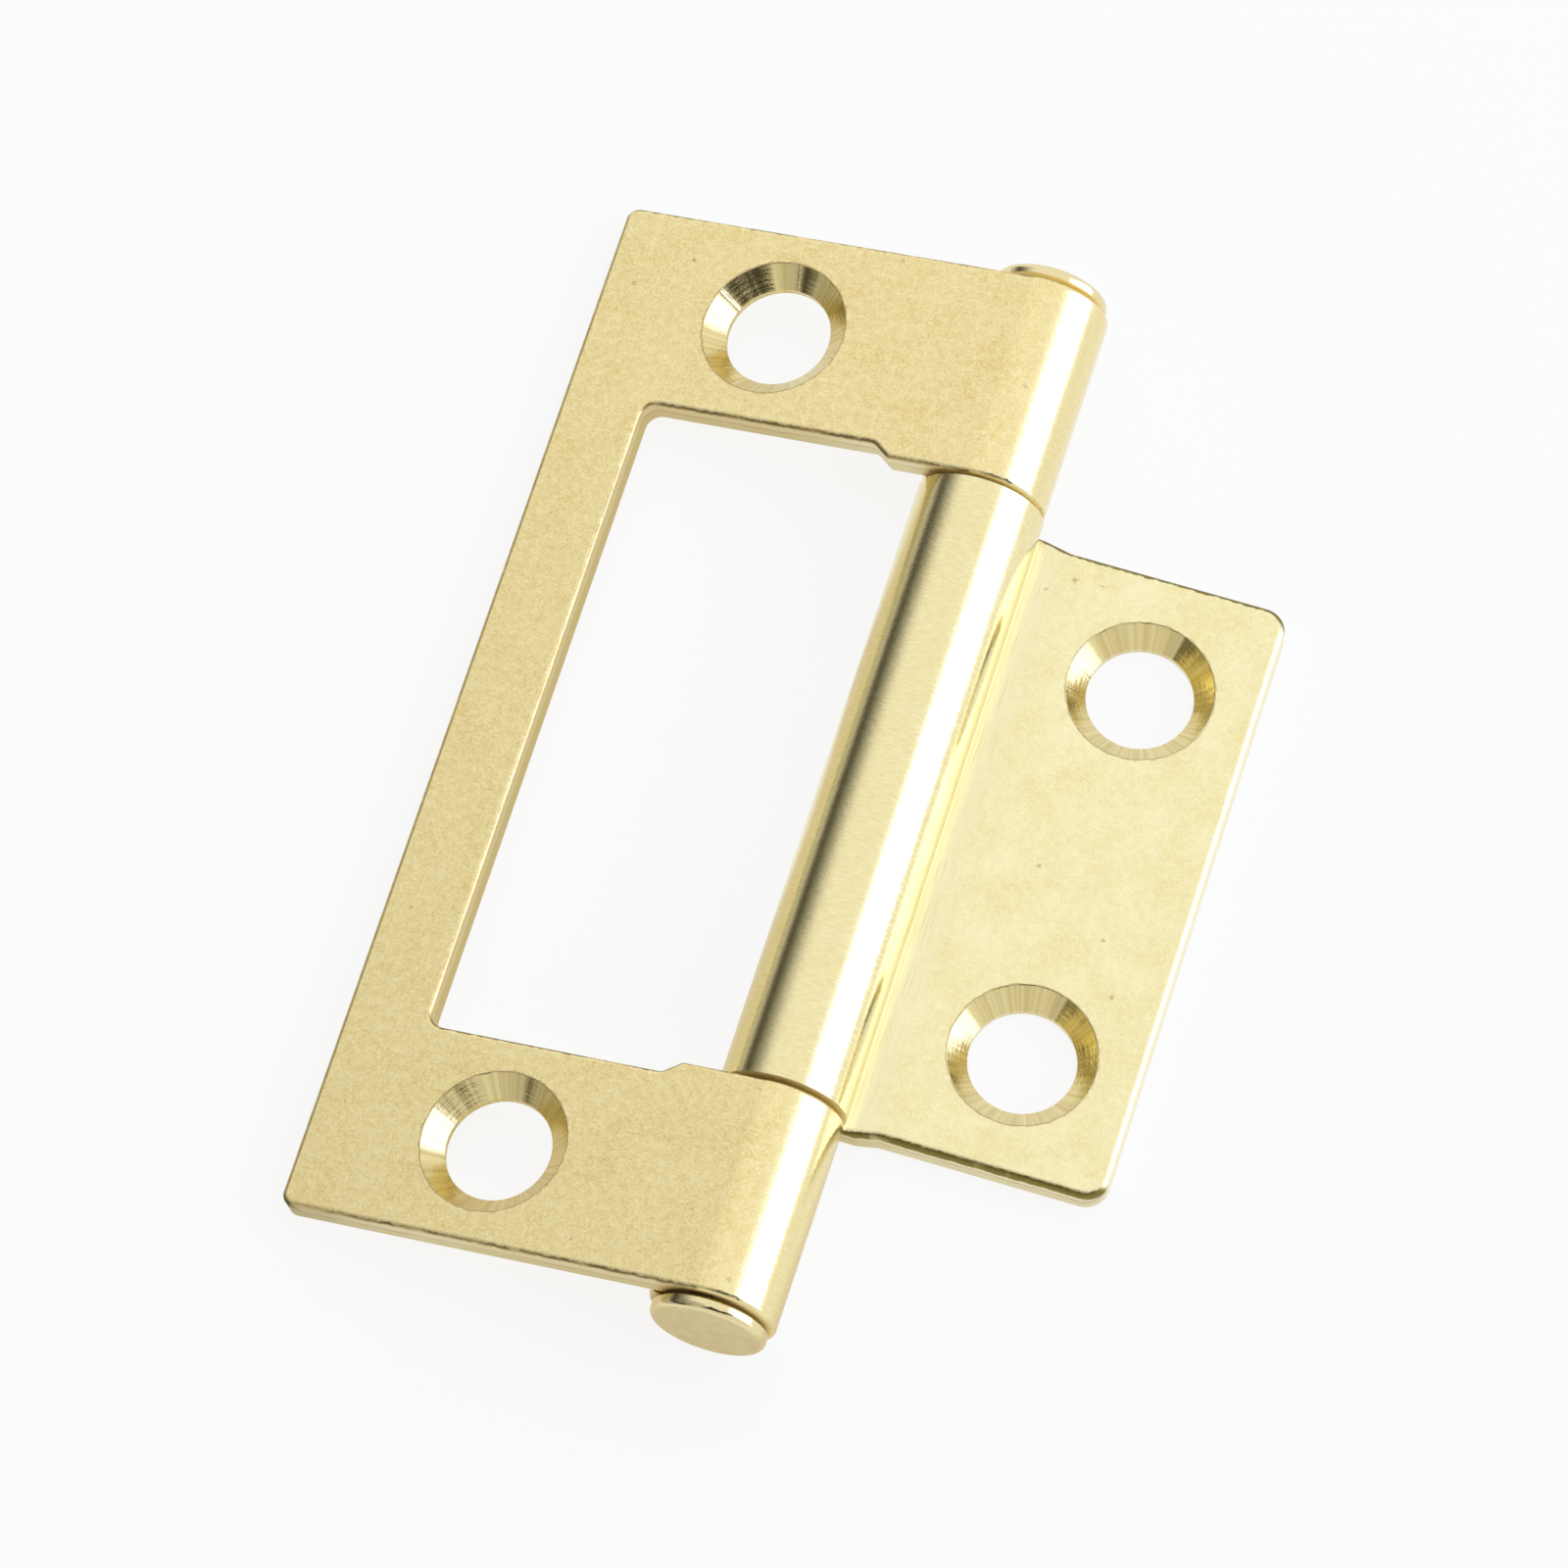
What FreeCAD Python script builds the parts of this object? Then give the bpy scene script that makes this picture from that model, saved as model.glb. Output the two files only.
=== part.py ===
import FreeCAD, Part
import math
import os

import Sketcher

# Flush hinge of pressed sheet, millimetres. The smaller leaf folds into a window in the larger leaf.
# The pin runs along Y. The hinge lies open on a flat surface at Z = 0 with its countersunk faces up:
# the smaller leaf lies flat on the +X side, straight under the pin is the origin, and the larger leaf
# slopes down on the -X side until its free edge meets the surface.
# Each leaf is drawn in its own frame, flat, with the pin's axis on Y and the plate towards -X,
# tangent to the top of its knuckle. That is how the two leaves lie inside each other when closed.

SIZES = {
    "pin_diameter": (3.3, "pin shank, a tight fit in the two end knuckles"),
    "sheet_thickness": (1.2, "both leaves are pressed from the same sheet"),
    "running_clearance": (0.04, "between the pin and the centre knuckle, on the radius"),
    "lip_gap": (0.12, "between the rolled end of a knuckle and the back of its own leaf"),
    "outer_length": (50.0, "larger leaf, along the pin"),
    "outer_reach": (19.45, "pin axis to the larger leaf's free edge"),
    "inner_length": (29.1, "smaller leaf's plate, along the pin"),
    "inner_reach": (14.4, "pin axis to the smaller leaf's free edge"),
    "root_step": (0.2, "how far the centre knuckle stands past its plate at each end"),
    "root_reach": (3.3, "pin axis to where the root of the smaller leaf starts to narrow"),
    "root_run": (1.0, "length of that narrowing"),
    "knuckle_gap": (0.2, "end gap between the centre knuckle and each end knuckle"),
    "window_side_gap": (1.0, "between the smaller leaf's plate and the window, at each side"),
    "window_edge_gap": (1.25, "between the smaller leaf's free edge and the window"),
    "shoulder_reach": (3.9, "pin axis to where the window starts to widen"),
    "shoulder_run": (0.8, "length of that widening"),
    "outer_corner": (0.6, "plan radius of the larger leaf's free corners"),
    "inner_corner": (1.1, "plan radius of the smaller leaf's free corners"),
    "window_corner": (0.7, "plan radius of the window's corners"),
    "step_blend": (0.4, "plan radius where the narrowing and the widening start and end"),
    "outer_edge_round": (0.22, "rounding that the press leaves round the larger leaf's countersunk face"),
    "inner_edge_round": (0.36, "the same round the smaller leaf's face, which the photo shows wider"),
    "screw_hole": (4.8, "easy clear hole for a 3.5 mm countersunk screw"),
    "countersink": (6.6, "mouth of the countersinks in both leaves"),
    "countersink_angle": (90.0, "whole angle of the countersinks, degrees"),
    "outer_hole_reach": (10.95, "pin axis to the larger leaf's screw holes"),
    "inner_hole_reach": (9.1, "pin axis to the smaller leaf's screw holes"),
    "inner_hole_spacing": (18.0, "between the smaller leaf's screw holes"),
    "head_diameter": (5.2, "pin heads"),
    "head_thickness": (0.68, "pin heads, along the pin"),
    "head_round": (0.3, "rounding of the heads' outer edges"),
    "head_bevel": (0.15, "bevel of the heads' inner edges"),
    "head_gap": (0.1, "between each pin head and the end knuckle beside it"),
}

# Sizes that follow from the ones above, as spreadsheet expressions.
PIN_RADIUS = "sizes.pin_diameter / 2"
CENTRE_BORE = f"({PIN_RADIUS} + sizes.running_clearance)"
END_KNUCKLE = f"({PIN_RADIUS} + sizes.sheet_thickness)"
CENTRE_KNUCKLE = f"({CENTRE_BORE} + sizes.sheet_thickness)"
KNUCKLE_HALF = "(sizes.inner_length / 2 + sizes.root_step)"
NARROW_HALF = f"({KNUCKLE_HALF} + sizes.knuckle_gap)"
WINDOW_HALF = "(sizes.inner_length / 2 + sizes.window_side_gap)"
WINDOW_REACH = "(sizes.inner_reach + sizes.window_edge_gap)"
# The larger leaf's screw holes are midway between the window's side and the leaf's end.
OUTER_HOLE_HALF = f"(({WINDOW_HALF} + sizes.outer_length / 2) / 2)"
INNER_HOLE_HALF = "sizes.inner_hole_spacing / 2"
HEAD_START = "(sizes.outer_length / 2 + sizes.head_gap)"
HEAD_END = f"({HEAD_START} + sizes.head_thickness)"
# The back edge of the larger leaf's free side touches the surface that the smaller leaf lies on.
SLOPE = (
    f"asin({CENTRE_KNUCKLE} / sqrt(sizes.outer_reach ^ 2 + ({PIN_RADIUS}) ^ 2))"
    f" + atan({PIN_RADIUS} / sizes.outer_reach)"
)

doc = FreeCAD.newDocument("flush_hinge")


def make_sheet():
    """Put every driving size into the spreadsheet, one aliased cell each."""
    sheet = doc.addObject("Spreadsheet::Sheet", "sizes")
    for row, (alias, (value, note)) in enumerate(SIZES.items(), start=1):
        sheet.set(f"A{row}", str(value))
        sheet.setAlias(f"A{row}", alias)
        sheet.set(f"B{row}", note)
    doc.recompute()
    return sheet


sizes = make_sheet()


def value_of(expression):
    """The number that an expression has now, used only to find edges and to start sketches near their answer."""
    result = sizes.evalExpression(expression.replace("sizes.", ""))
    return float(getattr(result, "Value", result))


def new_body(name):
    body = doc.addObject("PartDesign::Body", name)
    body.Label = name
    return body


def plane_of(body, role):
    return next(plane for plane in body.Origin.OriginFeatures if plane.Role == role)


def new_sketch(body, name, role, height=None):
    """A sketch on one of the body's own planes, lifted by height along the plane's normal."""
    sketch = body.newObject("Sketcher::SketchObject", name)
    sketch.AttachmentSupport = [(plane_of(body, role), "")]
    sketch.MapMode = "FlatFace"
    if height:
        sketch.setExpression("AttachmentOffset.Base.z", height)
    return sketch


def bind(sketch, constraint, name, expression):
    """Add a constraint and tie its size to the spreadsheet."""
    index = sketch.addConstraint(constraint)
    sketch.renameConstraint(index, name)
    sketch.setExpression(f"Constraints.{name}", expression)


def draw_polygon(sketch, corners, mirrored):
    """A closed outline through corners, each a pair of expressions. Mirrored adds their images across X."""
    here = [FreeCAD.Vector(value_of(x), value_of(y), 0) for x, y in corners]
    ring = here + [FreeCAD.Vector(p.x, -p.y, 0) for p in reversed(here)] if mirrored else here
    for start, end in zip(ring, ring[1:] + ring[:1]):
        sketch.addGeometry(Part.LineSegment(start, end), False)
    for side in range(len(ring)):
        sketch.addConstraint(Sketcher.Constraint("Coincident", side, 2, (side + 1) % len(ring), 1))
    for corner, (x, y) in enumerate(corners):
        bind(sketch, Sketcher.Constraint("DistanceX", -1, 1, corner, 1, here[corner].x), f"across_{corner}", x)
        bind(sketch, Sketcher.Constraint("DistanceY", -1, 1, corner, 1, here[corner].y), f"along_{corner}", y)
        if mirrored:
            sketch.addConstraint(Sketcher.Constraint("Symmetric", corner, 1, len(ring) - 1 - corner, 1, -1))


def draw_leaf_section(sketch, bore, knuckle, reach):
    """A strip of sheet seen along the pin: flat from its free edge to the top of the knuckle, then rolled
    round the pin until its lip nearly meets the back of the flat."""
    inner = value_of(bore)
    outer = value_of(knuckle)
    free = -value_of(reach)
    lip = math.pi - math.asin((inner - value_of("sizes.lip_gap")) / outer)
    top = 2.5 * math.pi
    middle = FreeCAD.Vector(0, 0, 0)
    along = FreeCAD.Vector(0, 0, 1)

    def at(x, y):
        return FreeCAD.Vector(x, y, 0)

    outside = sketch.addGeometry(Part.ArcOfCircle(Part.Circle(middle, along, outer), lip, top), False)
    lip_start = at(outer * math.cos(lip), outer * math.sin(lip))
    lip_end = at(inner * math.cos(lip), inner * math.sin(lip))
    lip_line = sketch.addGeometry(Part.LineSegment(lip_start, lip_end), False)
    inside = sketch.addGeometry(Part.ArcOfCircle(Part.Circle(middle, along, inner), lip, top), False)
    back = sketch.addGeometry(Part.LineSegment(at(0, inner), at(free, inner)), False)
    edge = sketch.addGeometry(Part.LineSegment(at(free, inner), at(free, outer)), False)
    face = sketch.addGeometry(Part.LineSegment(at(free, outer), at(0, outer)), False)
    for constraint in (
        Sketcher.Constraint("Coincident", outside, 3, -1, 1),
        Sketcher.Constraint("Coincident", inside, 3, -1, 1),
        Sketcher.Constraint("Coincident", outside, 1, lip_line, 1),
        Sketcher.Constraint("Coincident", lip_line, 2, inside, 1),
        Sketcher.Constraint("Coincident", back, 2, edge, 1),
        Sketcher.Constraint("Coincident", edge, 2, face, 1),
        Sketcher.Constraint("Tangent", inside, 2, back, 1),
        Sketcher.Constraint("Tangent", face, 2, outside, 2),
        Sketcher.Constraint("Horizontal", back),
        Sketcher.Constraint("Horizontal", face),
        Sketcher.Constraint("Vertical", edge),
        Sketcher.Constraint("PointOnObject", -1, 1, lip_line),
    ):
        sketch.addConstraint(constraint)
    bind(sketch, Sketcher.Constraint("Radius", inside, inner), "bore", bore)
    bind(sketch, Sketcher.Constraint("Radius", outside, outer), "knuckle", knuckle)
    bind(sketch, Sketcher.Constraint("DistanceX", edge, 1, -1, 1, -free), "reach", reach)
    gap = Sketcher.Constraint("DistanceY", outside, 1, back, 1, value_of("sizes.lip_gap"))
    bind(sketch, gap, "lip_gap", "sizes.lip_gap")


def pad_leaf(body, bore, knuckle, reach, length):
    """The leaf's section run along the pin, half to each side of the middle."""
    section = new_sketch(body, f"{body.Name}_section", "XZ_Plane")
    draw_leaf_section(section, bore, knuckle, reach)
    pad = body.newObject("PartDesign::Pad", f"{body.Name}_sheet")
    pad.Profile = section
    pad.SideType = "Symmetric"
    pad.setExpression("Length", length)
    doc.recompute()
    return pad


def cut_through(body, name, corners, mirrored):
    """A pocket right through the body, both ways from the middle of the knuckle."""
    outline = new_sketch(body, f"{name}_outline", "XY_Plane")
    draw_polygon(outline, corners, mirrored)
    pocket = body.newObject("PartDesign::Pocket", name)
    pocket.Profile = outline
    pocket.Type = "ThroughAll"
    pocket.SideType = "Symmetric"
    doc.recompute()
    return pocket


def drill(body, name, reach, half_spacing, height, upwards):
    """A countersunk screw hole, its mouth in the plane at height, drilled down or upwards from there."""
    centre = new_sketch(body, f"{name}_centre", "XY_Plane", height)
    radius = value_of("sizes.screw_hole / 2")
    start = FreeCAD.Vector(-value_of(reach), value_of(half_spacing), 0)
    circle = centre.addGeometry(Part.Circle(start, FreeCAD.Vector(0, 0, 1), radius), False)
    bind(centre, Sketcher.Constraint("DistanceX", circle, 3, -1, 1, -start.x), "reach", reach)
    bind(centre, Sketcher.Constraint("DistanceY", -1, 1, circle, 3, start.y), "half_spacing", half_spacing)
    bind(centre, Sketcher.Constraint("Radius", circle, radius), "drill", "sizes.screw_hole / 2")
    doc.recompute()
    hole = body.newObject("PartDesign::Hole", name)
    hole.Profile = centre
    hole.DepthType = "ThroughAll"
    hole.HoleCutType = "Countersink"
    hole.HoleCutCustomValues = True
    hole.Reversed = upwards
    hole.setExpression("Diameter", "sizes.screw_hole")
    hole.setExpression("HoleCutDiameter", "sizes.countersink")
    hole.setExpression("HoleCutCountersinkAngle", "sizes.countersink_angle")
    doc.recompute()
    return hole


def mirror_along_pin(body, name, originals):
    """Repeat features at the other end of the pin."""
    mirror = body.newObject("PartDesign::Mirrored", name)
    mirror.Originals = originals
    mirror.MirrorPlane = (plane_of(body, "XZ_Plane"), [""])
    body.Tip = mirror
    doc.recompute()
    return mirror


def fillet(body, name, radius, chosen):
    """Round the edges of the body's last feature that chosen picks."""
    base = body.Tip
    names = [f"Edge{i}" for i, edge in enumerate(base.Shape.Edges, start=1) if chosen(edge)]
    blend = body.newObject("PartDesign::Fillet", name)
    blend.Base = (base, names)
    blend.setExpression("Radius", radius)
    doc.recompute()
    return blend


def upright_at(corners):
    """Chooses the plate's upright edges at these places in plan, each a pair of expressions."""
    places = [(value_of(x), side * value_of(y)) for x, y in corners for side in (1, -1)]

    def chosen(edge):
        ends = [vertex.Point for vertex in edge.Vertexes]
        if len(ends) != 2 or math.hypot(ends[0].x - ends[1].x, ends[0].y - ends[1].y) > 1e-6:
            return False
        return any(math.hypot(ends[0].x - x, ends[0].y - y) < 1e-4 for x, y in places)

    return chosen


def outline_in(height, nearest):
    """Chooses the plate's outline in the plane at height, from its free edge up to nearest, seen from above.
    The line where the flat runs into the knuckle isn't part of it."""
    level = value_of(height)
    limit = value_of(nearest)

    def chosen(edge):
        box = edge.BoundBox
        flat = abs(box.ZMin - level) < 1e-6 and abs(box.ZMax - level) < 1e-6
        return flat and box.XMin < limit - 1e-6 and box.XMax < limit + 1e-6

    return chosen


def make_outer_leaf():
    body = new_body("outer_leaf")
    pad_leaf(body, PIN_RADIUS, END_KNUCKLE, "sizes.outer_reach", "sizes.outer_length")
    shoulder = ("-sizes.shoulder_reach", NARROW_HALF)
    widened = ("-sizes.shoulder_reach - sizes.shoulder_run", WINDOW_HALF)
    far = (f"-{WINDOW_REACH}", WINDOW_HALF)
    open_end = (f"{END_KNUCKLE} + sizes.sheet_thickness", NARROW_HALF)
    cut_through(body, "window", [open_end, shoulder, widened, far], mirrored=True)
    free_corner = ("-sizes.outer_reach", "sizes.outer_length / 2")
    fillet(body, "outer_corners", "sizes.outer_corner", upright_at([free_corner]))
    fillet(body, "window_corners", "sizes.window_corner", upright_at([far]))
    fillet(body, "shoulder_blends", "sizes.step_blend", upright_at([shoulder, widened]))
    fillet(body, "outer_edge_round", "sizes.outer_edge_round", outline_in(END_KNUCKLE, "0"))
    hole = drill(
        body,
        "outer_screw_hole",
        "sizes.outer_hole_reach",
        OUTER_HOLE_HALF,
        END_KNUCKLE,
        upwards=False,
    )
    mirror_along_pin(body, "outer_holes", [hole])
    body.Placement = FreeCAD.Placement(FreeCAD.Vector(), FreeCAD.Rotation(FreeCAD.Vector(0, -1, 0), 1))
    body.setExpression("Placement.Base.z", CENTRE_KNUCKLE)
    body.setExpression("Placement.Rotation.Angle", SLOPE)
    return body


def make_inner_leaf():
    body = new_body("inner_leaf")
    pad_leaf(body, CENTRE_BORE, CENTRE_KNUCKLE, "sizes.inner_reach", f"2 * {KNUCKLE_HALF}")
    root = ("-sizes.root_reach", KNUCKLE_HALF)
    narrowed = ("-sizes.root_reach - sizes.root_run", "sizes.inner_length / 2")
    past_edge = "-sizes.inner_reach - sizes.sheet_thickness"
    past_side = f"{KNUCKLE_HALF} + sizes.sheet_thickness"
    corners = [
        root,
        narrowed,
        (past_edge, "sizes.inner_length / 2"),
        (past_edge, past_side),
        ("-sizes.root_reach", past_side),
    ]
    strip = cut_through(body, "side_strip", corners, mirrored=False)
    mirror_along_pin(body, "inner_sides", [strip])
    free_corner = ("-sizes.inner_reach", "sizes.inner_length / 2")
    fillet(body, "inner_corners", "sizes.inner_corner", upright_at([free_corner]))
    fillet(body, "narrowing_blends", "sizes.step_blend", upright_at([narrowed]))
    # The rounding runs out where the root starts, so the rolled end of the sheet stays square.
    fillet(body, "inner_edge_round", "sizes.inner_edge_round", outline_in(CENTRE_BORE, "-sizes.root_reach"))
    hole = drill(
        body,
        "inner_screw_hole",
        "sizes.inner_hole_reach",
        INNER_HOLE_HALF,
        CENTRE_BORE,
        upwards=True,
    )
    mirror_along_pin(body, "inner_holes", [hole])
    body.Placement = FreeCAD.Placement(FreeCAD.Vector(), FreeCAD.Rotation(FreeCAD.Vector(0, 1, 0), 180))
    body.setExpression("Placement.Base.z", CENTRE_KNUCKLE)
    return body


def make_pin():
    """The shank and both heads, turned about the pin's axis."""
    body = new_body("hinge_pin")
    half = new_sketch(body, "pin_half_section", "XY_Plane")
    corners = [
        ("0", HEAD_END),
        ("sizes.head_diameter / 2", HEAD_END),
        ("sizes.head_diameter / 2", f"{HEAD_START} + sizes.head_bevel"),
        ("sizes.head_diameter / 2 - sizes.head_bevel", HEAD_START),
        (PIN_RADIUS, HEAD_START),
    ]
    draw_polygon(half, corners, mirrored=True)
    turned = body.newObject("PartDesign::Revolution", "turned_pin")
    turned.Profile = half
    turned.ReferenceAxis = (half, ["V_Axis"])
    turned.Angle = 360
    doc.recompute()
    reach = value_of(HEAD_END)

    def outer_rim(edge):
        box = edge.BoundBox
        return abs(abs(box.YMin) - reach) < 1e-6 and abs(box.YMax - box.YMin) < 1e-6

    fillet(body, "head_rounds", "sizes.head_round", outer_rim)
    body.setExpression("Placement.Base.z", CENTRE_KNUCKLE)
    return body


def check_document(bodies):
    """Stop if any feature failed or any piece has no sound solid."""
    for thing in doc.Objects:
        if "Invalid" in thing.State or "Error" in thing.State:
            raise RuntimeError(f"{thing.Name} failed: {thing.State}")
    for body in bodies:
        if body.Shape.isNull() or not body.Shape.isValid() or len(body.Shape.Solids) != 1:
            raise RuntimeError(f"{body.Label} is not one sound solid")


pieces = [make_outer_leaf(), make_inner_leaf(), make_pin()]
doc.recompute()
check_document(pieces)
os.makedirs("parts", exist_ok=True)
for piece in pieces:
    piece.Shape.exportStep(f"parts/{piece.Label}.step")
    print(piece.Label, "volume", round(piece.Shape.Volume, 2), "mm3", piece.Shape.BoundBox)
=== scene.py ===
import math

import bpy
import numpy as np
from mathutils import Matrix, Vector

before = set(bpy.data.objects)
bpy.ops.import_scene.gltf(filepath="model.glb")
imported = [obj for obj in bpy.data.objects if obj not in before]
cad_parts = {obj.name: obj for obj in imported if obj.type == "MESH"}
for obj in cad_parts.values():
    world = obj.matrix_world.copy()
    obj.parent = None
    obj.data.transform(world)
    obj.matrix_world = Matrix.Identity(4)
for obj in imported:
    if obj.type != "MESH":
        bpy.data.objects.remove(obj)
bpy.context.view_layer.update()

MM = 0.001

# Sizes of the hinge in millimetres, as the part has them. Patterns are placed by these.
SHEET = 1.2
END_KNUCKLE = 2.85
CENTRE_KNUCKLE = 2.89
CENTRE_BORE = 1.69
SLOPE = math.radians(13.363)
OUTER_HOLE = (10.95, 20.275)
INNER_HOLE = (9.1, 9.0)
OUTER_CORNER = (19.45, 25.0)
INNER_CORNER = (14.4, 14.55)
MOUTH = 6.6
HEAD_START = 25.1
HEAD_END = 25.78

# Sizes and places of the marks in millimetres.
SPECK = 0.13
PATCH = 0.4
CLOUD = 2.4
DIRT_SPACING = 1.2
TEAR_DEPTH = 0.58
CREASE_FROM_AXIS = 2.85
PIN_SPECK = 0.14
PIN_PATCH = 0.5

# Tones of the marks, the same on both leaves.
# Painted sheen: a pale tone on the plate beside the knuckle that stands for the bright reflection there.
ROOT_SHEEN_PALE = "#FDF8D4"
# The gold of the scratches beside the knuckle, and of the painted reflection along its crease.
SCRATCH_AND_CREASE_REFLECTION_GOLD = "#E2C672"
DIRT_BROWN = "#A98A55"
# Painted shade: the dark line at the countersinks' rims.
RIM_SHADE_BROWN = "#8A7040"
END_WALLS = ("#EADDB4", "#E0D4A8")
# Countersink tones, painted darker than the sheet as painted shade inside the holes; the turning streaks run
# between the two.
SHADED_CUT_TONES = ("#D8C486", "#E9DAA0")
# Painted light: a pale, barely metallic gold on the knuckles' ends that lightens their narrow gaps.
KNUCKLE_END_GAP_LIGHT = "#FAE6A0"

# Tones of the pin: its rims, its flat ends, and its shank in the gaps, where a warm gold is painted light.
PIN_RIM = ("#E6D6A2", "#F0E2B2")
PIN_END = ("#D4C592", "#EDE1BA")
PIN_SHANK_GAP_LIGHT = "#EAD088"

# The camera's place, from a fit of the part to the photograph's edges.
VIEW_TARGET = Vector((-4.353, -0.570, 2.89)) * MM
VIEW_DISTANCE = 433.3 * MM
VIEW_AZIMUTH = math.radians(17.58)
VIEW_ELEVATION = math.radians(67.10)
VIEW_ROLL = math.radians(-0.337)
LENS = 227.8
SENSOR_WIDTH = 36.0

# The studio: points along each side of a card, and the paper's size, level, tone and share of plain white.
CARD_STEPS = 48
CARD_LEVEL = 0.02 * MM
PAPER_HALF = 4.0
PAPER_LEVEL = -0.01 * MM
PAPER_TONE = "#FAFAF9"
PAPER_WHITE = 0.86


def colour(code):
    """An sRGB hex colour as linear red, green, blue and full alpha."""
    parts = [int(code[i:i + 2], 16) / 255 for i in (1, 3, 5)]
    return [c / 12.92 if c <= 0.04045 else ((c + 0.055) / 1.055) ** 2.4 for c in parts] + [1.0]


def add(tree, kind, inputs=(), **settings):
    """Add a node of this kind, give it its settings, and fill its inputs with values, nodes or sockets.
    Inputs is a list in the node's own order, where None leaves one alone, or a dictionary by name."""
    node = tree.nodes.new(kind)
    for name, value in settings.items():
        setattr(node, name, value)
    for key, value in inputs.items() if isinstance(inputs, dict) else enumerate(inputs):
        if value is None:
            continue
        if isinstance(value, bpy.types.Node):
            value = value.outputs[0]
        if isinstance(value, bpy.types.NodeSocket):
            tree.links.new(value, node.inputs[key])
        else:
            node.inputs[key].default_value = value
    return node


def new_material(name):
    """An empty node material and the node that it ends in."""
    material = bpy.data.materials.new(name)
    material.use_nodes = True
    material.node_tree.nodes.clear()
    return material, material.node_tree, material.node_tree.nodes.new("ShaderNodeOutputMaterial")


def leaf_finish(name, light, dark, cloudy, burnished, side_wall_tones_and_sheen, line_tone, line_shares, line_depth,
                root_sheen_and_scratch_share, turn, place, hole, corner, axis_height):
    """Pressed steel sheet under bright brass plating. The sheet's own faces are satin with a fine mottled
    grain and a few specks, the rolled knuckles are burnished round the pin, and the countersinks are turned,
    with the flats that a chattering tool leaves, and painted darker as painted shade inside the holes. The
    sheared edges show a dark broken line along the top of the rounding, then a smooth band and a torn one.
    The knuckles' ends are painted a pale, barely metallic gold that stands for the light in their narrow
    gaps.
    Light, dark and cloudy are the tones of the sheet's face, burnished those of the knuckle, and
    side_wall_tones_and_sheen those of the smooth and the torn band on edges along the pin; on the smaller
    leaf they are painted pale, a painted highlight on the free edge that faces the light. Line_tone is the
    tone of the dark edge line, line_shares its strength on edges across and along the pin, and line_depth how
    far down it reaches in millimetres. The root_sheen_and_scratch_share argument says how far the plate
    beside the knuckle is painted pale, a painted sheen that stands for the bright reflection there, how much
    it is scratched along the pin, and how strong the painted reflection in the crease is. Turn and place
    bring object coordinates to the leaf's own frame
    in millimetres: X across from the pin's axis and negative towards the free edge, Y along the pin, Z up
    from the countersunk face. In that frame hole and corner are the distances of the screw holes and free
    corners from the pin's axis and from the middle, and axis_height is the height of the pin's axis."""
    material, tree, end = new_material(name)
    spot = add(tree, "ShaderNodeTexCoord")
    leaf = add(tree, "ShaderNodeMapping", [spot.outputs["Object"], place, turn, (1 / MM, 1 / MM, 1 / MM)])
    facing = add(tree, "ShaderNodeMapping", [spot.outputs["Normal"], None, turn], vector_type="NORMAL")
    at = add(tree, "ShaderNodeSeparateXYZ", [leaf])
    face = add(tree, "ShaderNodeSeparateXYZ", [facing])
    along = add(tree, "ShaderNodeMath", [at.outputs["Y"]], operation="ABSOLUTE")

    # Noise that several marks share, from fine specks through patches to clouds.
    speck = add(tree, "ShaderNodeTexNoise", {"Vector": leaf, "Scale": 1 / SPECK, "Detail": 2.0,
                                             "Roughness": 0.6})
    patch = add(tree, "ShaderNodeTexNoise", {"Vector": leaf, "Scale": 1 / PATCH, "Detail": 2.0,
                                             "Roughness": 0.6})
    cloud = add(tree, "ShaderNodeTexNoise", {"Vector": leaf, "Scale": 1 / CLOUD, "Detail": 4.0,
                                             "Roughness": 0.6})

    # The rolled part: above the plate's face, under its back, or round the pin.
    above = add(tree, "ShaderNodeMapRange", [at.outputs["Z"], 0.02, 0.08], interpolation_type="SMOOTHSTEP")
    below = add(tree, "ShaderNodeMapRange", [at.outputs["Z"], -SHEET - 0.02, -SHEET - 0.2],
                interpolation_type="SMOOTHSTEP")
    beside = add(tree, "ShaderNodeMapRange", [at.outputs["X"], 0.2, 2.4], interpolation_type="SMOOTHSTEP")
    off_plate = add(tree, "ShaderNodeMath", [above, below], operation="MAXIMUM")
    rolled = add(tree, "ShaderNodeMath", [off_plate, beside], operation="MAXIMUM")
    on_plate = add(tree, "ShaderNodeMath", [1.0, rolled], operation="SUBTRACT")

    # Round each screw hole: distance from its axis, the direction from it as a unit vector, and where the
    # countersink is. The leaf's back is left out of the countersink.
    from_hole_x = add(tree, "ShaderNodeMath", [at.outputs["X"], hole[0]], operation="ADD")
    from_hole_y = add(tree, "ShaderNodeMath", [along, hole[1]], operation="SUBTRACT")
    from_hole = add(tree, "ShaderNodeCombineXYZ", [from_hole_x, from_hole_y])
    reach = add(tree, "ShaderNodeVectorMath", [from_hole], operation="LENGTH")
    hole_radius = reach.outputs["Value"]
    bearing = add(tree, "ShaderNodeVectorMath", [from_hole], operation="NORMALIZE")
    within_mouth = add(tree, "ShaderNodeMapRange", [hole_radius, MOUTH / 2 + 0.01, MOUTH / 2 - 0.03])
    off_back = add(tree, "ShaderNodeMapRange", [at.outputs["Z"], -SHEET + 0.05, -SHEET + 0.1])
    in_mouth = add(tree, "ShaderNodeMath", [within_mouth, off_back], operation="MULTIPLY")
    past_hole = add(tree, "ShaderNodeMath", [1.0, in_mouth], operation="SUBTRACT")

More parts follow.
